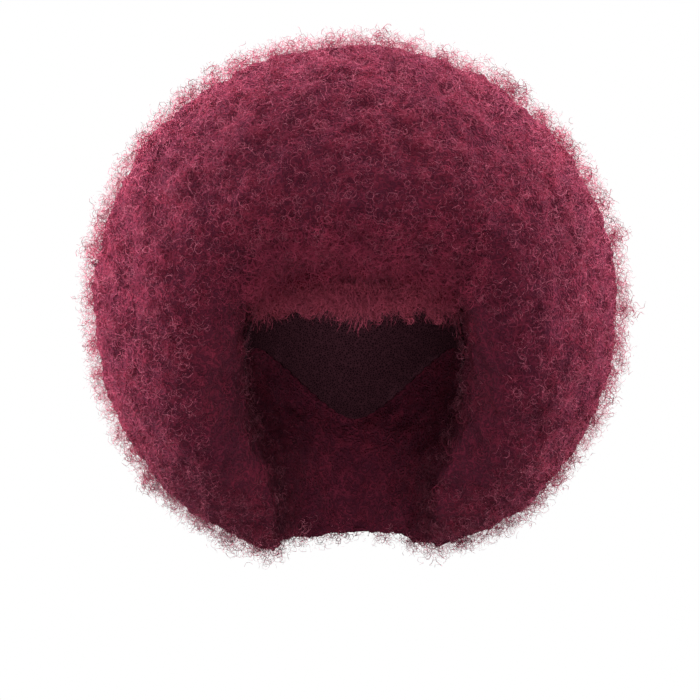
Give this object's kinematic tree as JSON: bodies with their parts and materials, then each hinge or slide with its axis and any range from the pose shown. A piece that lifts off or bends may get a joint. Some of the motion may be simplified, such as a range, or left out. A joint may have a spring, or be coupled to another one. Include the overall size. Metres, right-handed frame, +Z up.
{
  "type": "afro wig",
  "caption": "Large round afro wig: a deep ball of tight burgundy curls on a thin net cap, open for the face and neck, with a short curled fringe over the forehead",
  "frame": {"origin": "inside top of the cap, where it rests on the crown of the head", "axes": "+Z up, the face looks along -Y, +X towards the wearer's left ear"},
  "size_m": [0.365, 0.3348, 0.3559],
  "materials": {
    "cap_net": "matt stretch net",
    "curled_fibre": "tightly curled synthetic fibre with a soft sheen",
    "fringe_fibre": "loosely curled synthetic fibre with a soft sheen"
  },
  "bodies": {
    "root": {"net_cap": "cap_net", "crown_curls": "curled_fibre", "front_curls": "curled_fibre", "left_curls": "curled_fibre", "right_curls": "curled_fibre", "back_curls": "curled_fibre", "fringe": "fringe_fibre"}
  },
  "joints": []
}
